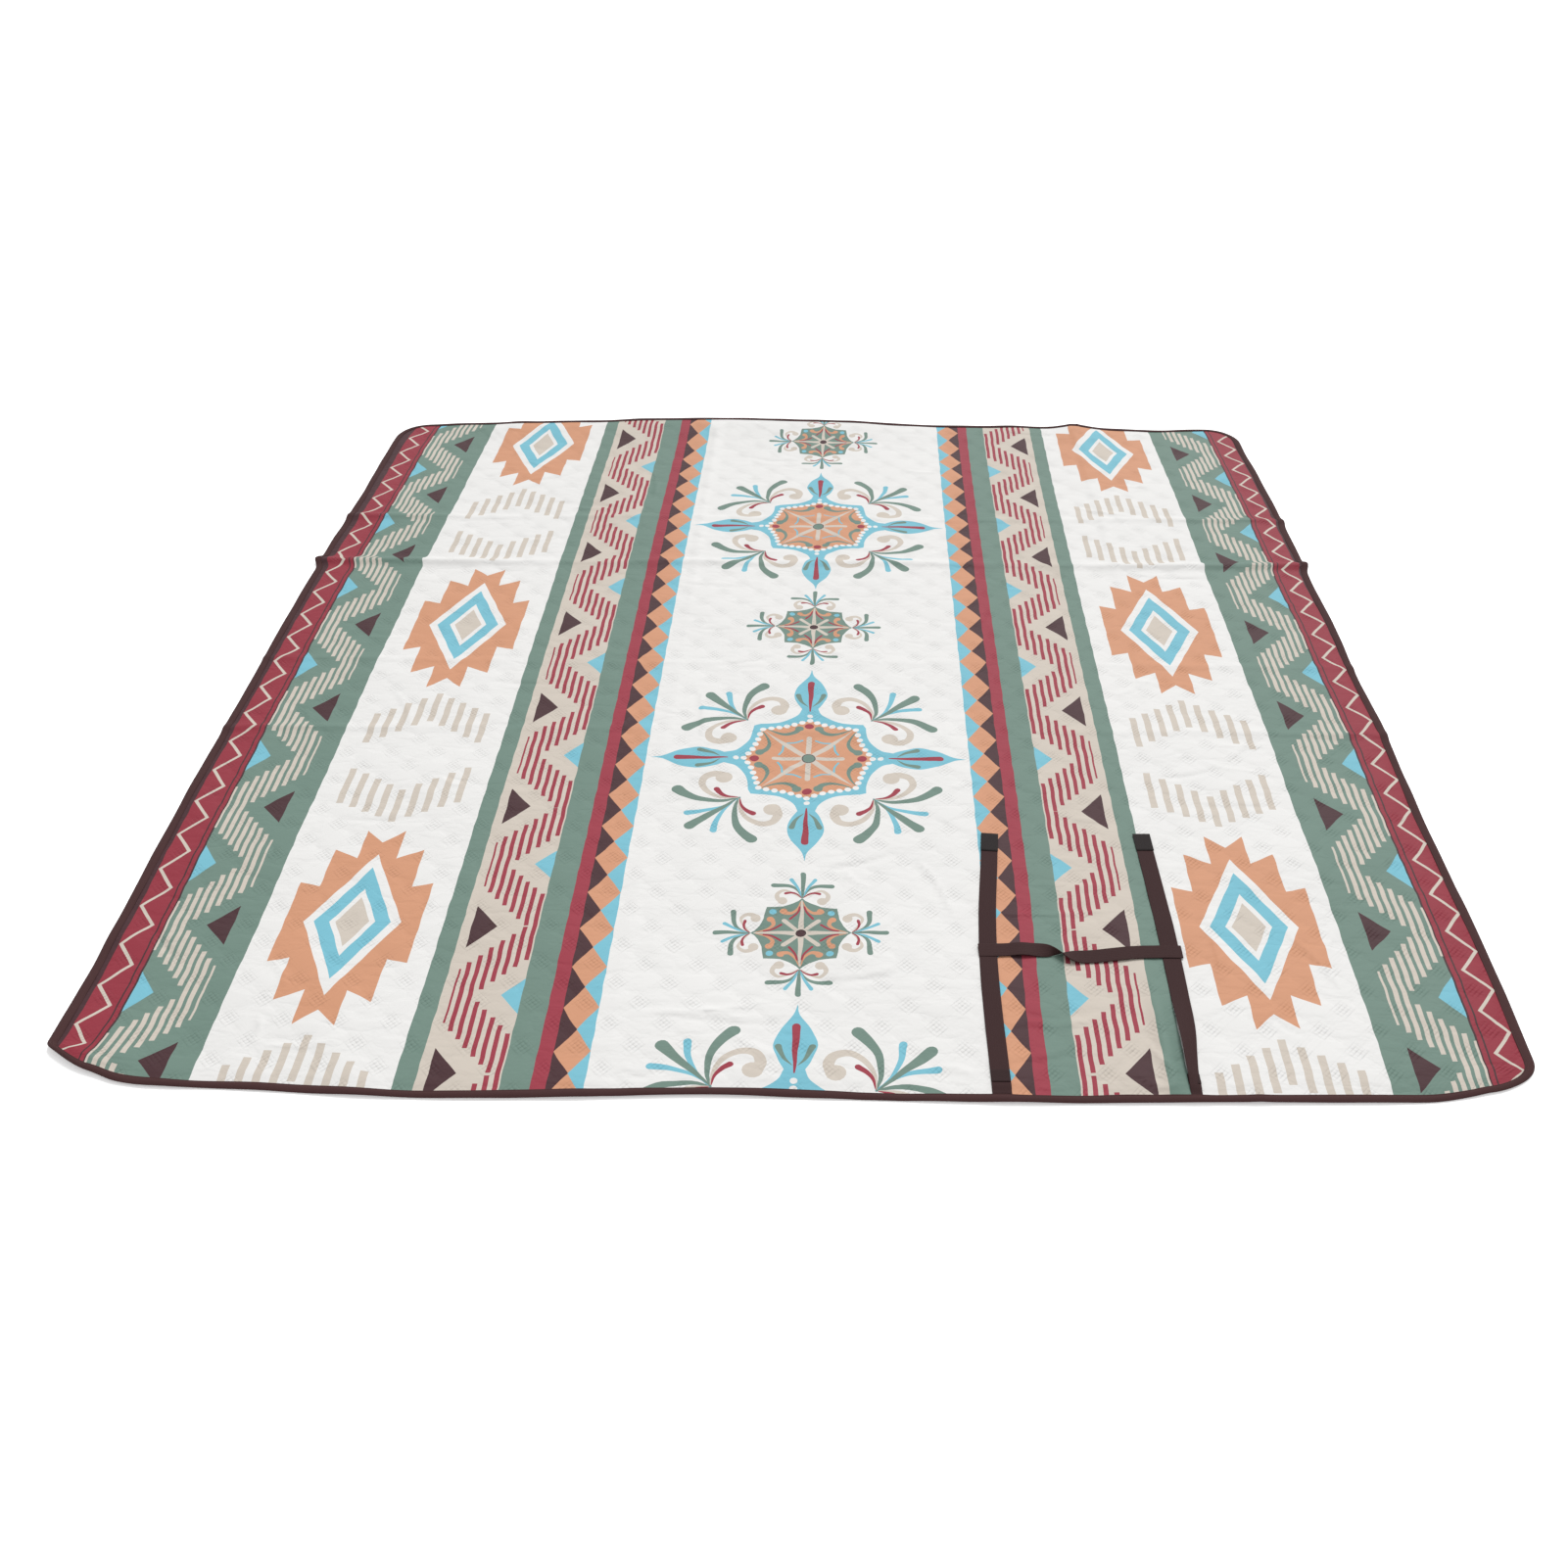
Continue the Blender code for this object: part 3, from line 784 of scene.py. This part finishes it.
def stitch_grooves(nodes, offset, other):
    """Four fine grooves beside each other on a quilting line, deepest where another line crosses it."""
    window = nodes.math("LESS_THAN", nodes.math("ABSOLUTE", offset), STITCH_PITCH * 2)
    phase = nodes.math("MULTIPLY", offset, math.pi / STITCH_PITCH)
    ridge = nodes.math("POWER", nodes.math("ABSOLUTE", nodes.math("SINE", phase)), 0.5)
    groove = nodes.math("MULTIPLY", nodes.math("SUBTRACT", 1.0, ridge), window)
    apart = nodes.math("DIVIDE", nodes.math("ABSOLUTE", other), CROSSING_REACH)
    nearness = nodes.math("SUBTRACT", 1.0, apart)
    depth = nodes.math("ADD", 0.22, nodes.math("MULTIPLY", nodes.math("MAXIMUM", nearness, 0.0), 1.3))
    return nodes.math("MULTIPLY", groove, depth)


def printed_cloth(name, colour):
    nodes = Nodes(name, linear(colour), 0.62, sheen=0.03, specular=0.20)
    place, x, y = nodes.flat_place()
    root = math.sqrt(2)
    along = nodes.math("DIVIDE", nodes.math("ADD", x, y), root)
    shifted = nodes.math("SUBTRACT", nodes.math("SUBTRACT", x, y), QUILT_SHIFT * QUILT_PITCH)
    back = nodes.math("DIVIDE", shifted, root)
    first, second = line_offset(nodes, along, QUILT_PITCH), line_offset(nodes, back, QUILT_PITCH)
    # The second set of lines runs nearly along the light, so it is cut deeper to show as well
    deeper = nodes.math("MULTIPLY", stitch_grooves(nodes, second, first), 1.8)
    grooves = nodes.math("ADD", stitch_grooves(nodes, first, second), deeper)
    height = nodes.math("MULTIPLY", grooves, -STITCH_DEPTH)
    crumple = nodes.noise(place, 13, 4.0, (0.7, 1.5, 1), 0.5)
    crease = nodes.math("ABSOLUTE", nodes.math("SUBTRACT", crumple, 0.5))
    crease = nodes.math("MULTIPLY", nodes.math("MINIMUM", crease, 0.09), 0.0060)
    height = nodes.math("ADD", height, crease)
    weave = nodes.math("MULTIPLY", nodes.wave(x, 0.0011, 1.0), nodes.wave(y, 0.0011, 1.0))
    height = nodes.math("ADD", height, nodes.math("MULTIPLY", weave, 0.00002))
    nodes.bump(height)
    return nodes.material


def woven_tape(name, colour, roughness, rib=0.0016, depth=0.00008, sheen=0.02, specular=0.10):
    """Webbing: ribs along its length with a slanted weave. Its flat x runs across, its flat y along."""
    nodes = Nodes(name, linear(colour), roughness, sheen=sheen, specular=specular)
    place, x, y = nodes.flat_place()
    slant = nodes.math("ADD", y, nodes.math("MULTIPLY", nodes.math("PINGPONG", x, rib * 2), 1.0))
    ribs = nodes.wave(slant, rib, depth)
    length_ribs = nodes.wave(x, rib * 2, depth * 0.6)
    fuzz = nodes.math("MULTIPLY", nodes.noise(place, 900, 2.0), depth * 1.2)
    nodes.bump(nodes.math("ADD", nodes.math("ADD", ribs, length_ribs), fuzz))
    return nodes.material


def coated_cloth(name, colour):
    nodes = Nodes(name, linear(colour), 0.45, specular=0.4)
    place, x, y = nodes.flat_place()
    weave = nodes.math("ADD", nodes.wave(x, 0.0016, 0.00003), nodes.wave(y, 0.0016, 0.00003))
    nodes.bump(nodes.math("ADD", weave, nodes.math("MULTIPLY", nodes.noise(place, 30, 3.0), 0.0008)))
    return nodes.material


def hook_tape(name, colour):
    nodes = Nodes(name, linear(colour), 0.7, specular=0.10)
    _, x, y = nodes.flat_place()
    dots = nodes.math("MULTIPLY", nodes.wave(x, 0.0016, 1.0), nodes.wave(y, 0.0016, 1.0))
    nodes.bump(nodes.math("MULTIPLY", dots, 0.00012))
    return nodes.material


colour_names = ["white"] + [c for c in COLOURS if c != "white"]
cover_materials = [printed_cloth(f"printed_cloth_{c}", COLOURS[c]) for c in colour_names]
binding_material = woven_tape("binding_tape", "4D3333", 0.75, rib=0.0012, depth=0.00004)
strap_material = woven_tape("strap_webbing", "412C2C", 0.7)
patch_material = hook_tape("hook_tape", "322D2D")
loop_material = hook_tape("loop_tape", "3A2A2A")
backing_material = coated_cloth("coated_backing", "59504F")

# -------------------------------- cover and backing
flat, faces = triangulate([s[0] for s in shapes], MESH_STEP, SHEET_INSET)
numbers = colours_of(flat, faces, colour_names)
points = cover_surface(flat[:, 0], flat[:, 1])
up = surface_normals(cover_surface, flat[:, 0], flat[:, 1])
turned = np.cross(flat[faces[:, 1]] - flat[faces[:, 0]], flat[faces[:, 2]] - flat[faces[:, 0]]) < 0
faces[turned] = faces[turned][:, ::-1]
covers = add_halves("printed_cover", points, faces, flat, cover_materials, numbers, up)

back_flat, back_faces = triangulate([], BACKING_STEP, SHEET_INSET)
back_points = backing_surface(back_flat[:, 0], back_flat[:, 1])
down = -surface_normals(backing_surface, back_flat[:, 0], back_flat[:, 1])
sides = back_flat[back_faces]
turned = np.cross(sides[:, 1] - sides[:, 0], sides[:, 2] - sides[:, 0]) > 0
back_faces[turned] = back_faces[turned][:, ::-1]
backings = add_halves("coated_backing", back_points, back_faces, back_flat, [backing_material], None, down)

# -------------------------------- binding
# The folded tape's section: distance in from the edge, height. The dip near its inner edge is its seam.
BINDING_SECTION = [
    (0.0170, 0.0018), (0.0171, 0.0030), (0.0168, 0.0036), (0.0156, 0.0037), (0.0146, 0.0032),
    (0.0136, 0.0037), (0.0100, 0.0042), (0.0060, 0.0040), (0.0025, 0.0032), (0.0005, 0.0022),
    (0.0, 0.0013), (0.0008, 0.0005), (0.0040, 0.0), (0.0100, 0.0), (0.0150, 0.0), (0.0170, 0.0006),
]
# Where the straps' feet lie under the binding and raise it: place, width
STRAP_FEET = [(0.2855, 0.016), (0.541, 0.014)]


def build_binding():
    section = np.array(BINDING_SECTION)
    loop, inward = outline_points(0.0, BINDING_STEP)
    lengths = np.concatenate([[0], np.cumsum(np.linalg.norm(np.diff(loop, axis=0), axis=1))])
    across = np.concatenate([[0], np.cumsum(np.linalg.norm(np.diff(section, axis=0), axis=1))])
    count, ring = len(loop), len(section)
    pucker = 0.5 + 0.5 * np.sin(lengths * 61 + 2.0 * np.sin(lengths * 9.0))
    # The tape rolls under more at the front and back than at the sides
    inset_share = 0.84 - 0.20 * np.abs(inward[:, 1])
    inset_share += 0.045 * np.sin(lengths * 23 + 1.4 * np.sin(lengths * 5.3))
    inset = section[None, :, 0] * inset_share[:, None]
    x = (loop[:, None, 0] + inward[:, None, 0] * inset).ravel()
    y = (loop[:, None, 1] + inward[:, None, 1] * inset).ravel()
    rise = section[None, :, 1] * (0.92 + 0.16 * pucker[:, None])
    moved_x, moved_y = in_plane(x, y)
    z = relief(x, y) + rise.ravel()
    for centre, width in STRAP_FEET:
        z += 0.0010 * bell(x - centre, width) * (y < -0.9) * smooth(rise.ravel() / 0.003)
    points = np.stack([moved_x, moved_y, z], 1)
    flat = np.stack([np.tile(across, count), np.repeat(lengths, ring)], 1)
    place = np.arange(count * ring).reshape(count, ring)
    following = np.roll(place, -1, 0)
    quads = np.stack([place[:, :-1], following[:, :-1], following[:, 1:], place[:, 1:]], -1).reshape(-1, 4)
    return points, quads, flat, np.stack([x, y], 1)


points, quads, flat, plan = build_binding()
normals = vertex_normals(points, quads)
middle = plan[quads].mean(1)[:, 1]
bindings = [
    add_mesh(f"edge_binding_{word}", points, quads[keep], flat, [binding_material], None, normals)
    for word, keep in (("front", middle < 0), ("back", middle >= 0))
]

# -------------------------------- straps and handle
# The top half of a strap's section, as shares of its width and thickness
RIBBON_SECTION = [
    (-0.5, 0.0), (-0.492, 0.42), (-0.46, 0.5), (-0.2, 0.5), (0.0, 0.5), (0.2, 0.5), (0.46, 0.5),
    (0.492, 0.42), (0.5, 0.0),
]


def ribbon(name, line, width, thickness, across, material, closed=(True, True), length_from=0.0):
    """A woven strap along a line. across is the direction of its width at each point of the line."""
    line, across = np.array(line, float), np.array(across, float)
    width = np.broadcast_to(width, len(line))
    along = np.gradient(line, axis=0)
    along /= np.linalg.norm(along, axis=1)[:, None]
    across = across - (across * along).sum(1)[:, None] * along
    across /= np.linalg.norm(across, axis=1)[:, None]
    up = np.cross(across, along)
    top = np.array(RIBBON_SECTION)
    section = np.concatenate([top, (top * (1, -1))[::-1][1:-1]])
    ring = len(section)
    points = (
        line[:, None]
        + across[:, None] * (section[None, :, :1] * width[:, None, None])
        + up[:, None] * section[None, :, 1:] * thickness
    )
    count = len(line)
    lengths = length_from + np.concatenate([[0], np.cumsum(np.linalg.norm(np.diff(line, axis=0), axis=1))])
    flat = np.stack([np.tile(section[:, 0] * width[0], count), np.repeat(lengths, ring)], 1)
    place = np.arange(count * ring).reshape(count, ring)
    beside = np.roll(place, -1, 1)
    quads = np.stack([place[:-1], place[1:], beside[1:], beside[:-1]], -1).reshape(-1, 4)
    made = add_mesh(name, points.reshape(-1, 3), quads, flat, [material])
    mesh = made.data
    if any(closed):
        edit = bmesh.new()
        edit.from_mesh(mesh)
        edit.verts.ensure_lookup_table()
        for end_closed, at in zip(closed, (0, count - 1)):
            if end_closed:
                corners = [edit.verts[i] for i in place[at]]
                edit.faces.new(corners if at else corners[::-1])
        bmesh.ops.recalc_face_normals(edit, faces=edit.faces)
        edit.to_mesh(mesh)
        edit.free()
    return made


def resting_height(x, y):
    """Top of the cover under a strap, without the small quilting relief."""
    x, y = np.atleast_1d(np.asarray(x, float)), np.atleast_1d(np.asarray(y, float))
    return COVER_LEVEL + relief(x, y)


# The straps' middle lines, and the right strap's width as a share: place in y, value
LEFT_LINE = [(-1.0, 0.2855), (-0.735, 0.2855), (-0.65, 0.2905), (-0.55, 0.3000), (-0.47, 0.3070)]
RIGHT_LINE = [
    (-1.0, 0.5400), (-0.953, 0.5407), (-0.927, 0.5427), (-0.887, 0.5460), (-0.82, 0.5480),
    (-0.735, 0.5495), (-0.60, 0.5485), (-0.47, 0.5465),
]
RIGHT_WIDTH = [(-1.0, 0.56), (-0.953, 0.68), (-0.927, 0.80), (-0.887, 0.96), (-0.82, 1.0), (-0.47, 1.0)]
TIP_Y = -0.480
FOOT_Y = -0.9955


def strap_line(table, y):
    x = curve_value(table, y)
    z = resting_height(x, y) + STRAP_REST + STRAP_THICKNESS / 2
    # The foot dips under the binding
    z -= 0.0022 * smooth((-0.981 - y) / 0.008)
    return np.stack([x, y, z], 1)


def strap_pieces(word, table, widths):
    made = []
    for part, y0, y1 in (("strap", FOOT_Y, STRAP_SPLIT_Y), ("tail", STRAP_SPLIT_Y, TIP_Y)):
        y = np.linspace(y0, y1, int((y1 - y0) / 0.004) + 1)
        if part == "tail":
            y = np.unique(np.concatenate([y, np.arange(STRAP_SPLIT_Y, TAIL_END_OF_BEND_Y, 0.001)]))
        line = strap_line(table, y)
        width = STRAP_WIDTH * (curve_value(widths, y) if widths else np.ones(len(y)))
        across = np.tile((1.0, 0.0, 0.0), (len(y), 1))
        if widths:
            # Near its foot the strap stands on its right edge, with its left edge lifted
            tilt = 0.42 * smooth((-0.80 - y) / 0.13) * smooth((y + 0.990) / 0.035)
            across = np.stack([np.cos(tilt), np.zeros(len(y)), -np.sin(tilt)], 1)
            line[:, 2] += np.sin(tilt) * width / 2
        closed = (part == "strap", part == "tail")
        name = f"{part}_{word}"
        made.append(ribbon(name, line, width, STRAP_THICKNESS, across, strap_material, closed, y0))
    return made


def patch(name, table, y0, y1, lift, width, material):
    y = np.linspace(y0, y1, 10)
    line = strap_line(table, y)
    line[:, 2] += STRAP_THICKNESS / 2 + lift
    across = np.tile((1.0, 0.0, 0.0), (len(y), 1))
    return ribbon(name, line, width, PATCH_THICKNESS, across, material)


left_strap, left_tail = strap_pieces("left", LEFT_LINE, None)
right_strap, right_tail = strap_pieces("right", RIGHT_LINE, RIGHT_WIDTH)
left_hook = patch("hook_left", LEFT_LINE, -0.5200, TIP_Y + 0.001, 0.0005, 0.0270, patch_material)
right_hook = patch("hook_right", RIGHT_LINE, -0.5160, TIP_Y + 0.003, 0.0005, 0.0275, patch_material)
left_loop = patch("loop_left", LEFT_LINE, -0.9760, -0.9560, 0.0004, 0.0255, loop_material)
right_loop = patch("loop_right", RIGHT_LINE, -0.9760, -0.9600, 0.0004, 0.0165, loop_material)

HANDLE_MIDDLE_X = 0.416
HANDLE_SQUEEZE = 0.42
# The handle's middle line: place in x, y
HANDLE_LINE = [
    (0.270, -0.7350), (0.300, -0.7347), (0.335, -0.7345), (0.355, -0.7355), (0.380, -0.7410),
    (0.405, -0.7465), (0.430, -0.7465), (0.465, -0.7420), (0.500, -0.7370), (0.535, -0.7347),
    (0.570, -0.7347),
]


def handle_piece(name, x0):
    """One half of the handle, from its sewn end at x0 to the middle, with its half twist."""
    x = np.linspace(x0, HANDLE_MIDDLE_X, 75)
    y = curve_value(HANDLE_LINE, x)
    over_strap = np.maximum(1 - smooth((x - 0.300) / 0.016), smooth((x - 0.526) / 0.016))
    turn = math.pi * smooth((x - 0.345) / 0.080)
    z = resting_height(x, y) + STRAP_REST + STRAP_THICKNESS * (0.5 + over_strap * 1.15)
    z += np.sin(turn) * (HANDLE_WIDTH / 2 * HANDLE_SQUEEZE - 0.001) + 0.0008 * (1 - over_strap)
    z += 0.0026 * bell(x - 0.334, 0.018)
    line = np.stack([x, y, z], 1)
    slope = np.gradient(y, x)
    flat_side = np.stack([-slope, np.ones_like(x), np.zeros_like(x)], 1)
    flat_side /= np.linalg.norm(flat_side, axis=1)[:, None]
    upright = np.array([0, 0, 1.0]) * (np.sin(turn) * HANDLE_SQUEEZE)[:, None]
    side = flat_side * np.cos(turn)[:, None] + upright
    width = HANDLE_WIDTH * np.linalg.norm(side, axis=1)
    return ribbon(name, line, width, STRAP_THICKNESS, side, strap_material, (True, False), x0)


left_handle = handle_piece("handle_left", 0.2715)
right_handle = handle_piece("handle_right", 0.5660)

# -------------------------------- the pieces in place of the model's parts; the hook and loop patches ride on their straps
cover_front, cover_back = covers
backing_front, backing_back = backings
binding_front, binding_back = bindings

for piece in (cover_front, backing_front, binding_front):
    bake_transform(piece)
for piece in (cover_back, backing_back, binding_back):
    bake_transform(piece)
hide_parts("cover_front", "padding_front")
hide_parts("cover_middle", "padding_middle", "cover_back", "padding_back")
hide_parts("backing_front")
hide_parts("backing_middle", "backing_back")
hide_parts("binding_front")
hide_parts("binding_middle_left", "binding_middle_right", "binding_back")

for word, strap, tail, hook, loop, handle in (
    ("left", left_strap, left_tail, left_hook, left_loop, left_handle),
    ("right", right_strap, right_tail, right_hook, right_loop, right_handle),
):
    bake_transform(strap)
    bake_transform(tail)
    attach(hook, f"{word}_tail")
    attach(loop, f"{word}_strap")
    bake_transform(handle)
    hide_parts(f"strap_{word}_base")
    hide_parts(f"strap_{word}_tail")
    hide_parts(f"hook_patch_{word}")
    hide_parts(f"loop_patch_{word}")
    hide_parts(f"handle_tab_{word}", f"handle_half_{word}")

# -------------------------------- floor, light and camera
scene = bpy.context.scene
scene.view_settings.view_transform = "Standard"

floor_mesh = bpy.data.meshes.new("floor")
floor_mesh.from_pydata([(-40, -40, 0), (40, -40, 0), (40, 40, 0), (-40, 40, 0)], [], [(0, 1, 2, 3)])
floor = bpy.data.objects.new("floor", floor_mesh)
floor.location.z = -0.0002
scene.collection.objects.link(floor)
floor_nodes = Nodes("floor", (0.98, 0.98, 0.98, 1.0), 1.0, specular=0.0)
# The floor glows a little, like a lit studio table, so that it stays white beside the blanket
floor_nodes.shader.inputs["Emission Color"].default_value = (1.0, 1.0, 1.0, 1.0)
floor_nodes.shader.inputs["Emission Strength"].default_value = 0.30
floor_mesh.materials.append(floor_nodes.material)

world = bpy.data.worlds.new("studio")
scene.world = world
world.use_nodes = True
world.node_tree.nodes["Background"].inputs["Color"].default_value = (1.0, 1.0, 1.0, 1.0)
world.node_tree.nodes["Background"].inputs["Strength"].default_value = 0.63

key = bpy.data.lights.new("key", "SUN")
key.energy = 2.38
key.angle = math.radians(28)
key_lamp = bpy.data.objects.new("key", key)
key_lamp.rotation_euler = (math.radians(-38), math.radians(14), 0)
scene.collection.objects.link(key_lamp)

camera = bpy.data.objects.new("camera", bpy.data.cameras.new("camera"))
camera.data.lens = 32.49
camera.data.sensor_width = 36.0
camera.data.shift_x = -0.0309
camera.data.shift_y = -0.0042
camera.location = (0.0793, -2.1759, 1.4909)
camera.rotation_euler = (math.radians(51.045), 0.0, math.radians(0.777))
scene.collection.objects.link(camera)
scene.camera = camera

bpy.context.view_layer.update()
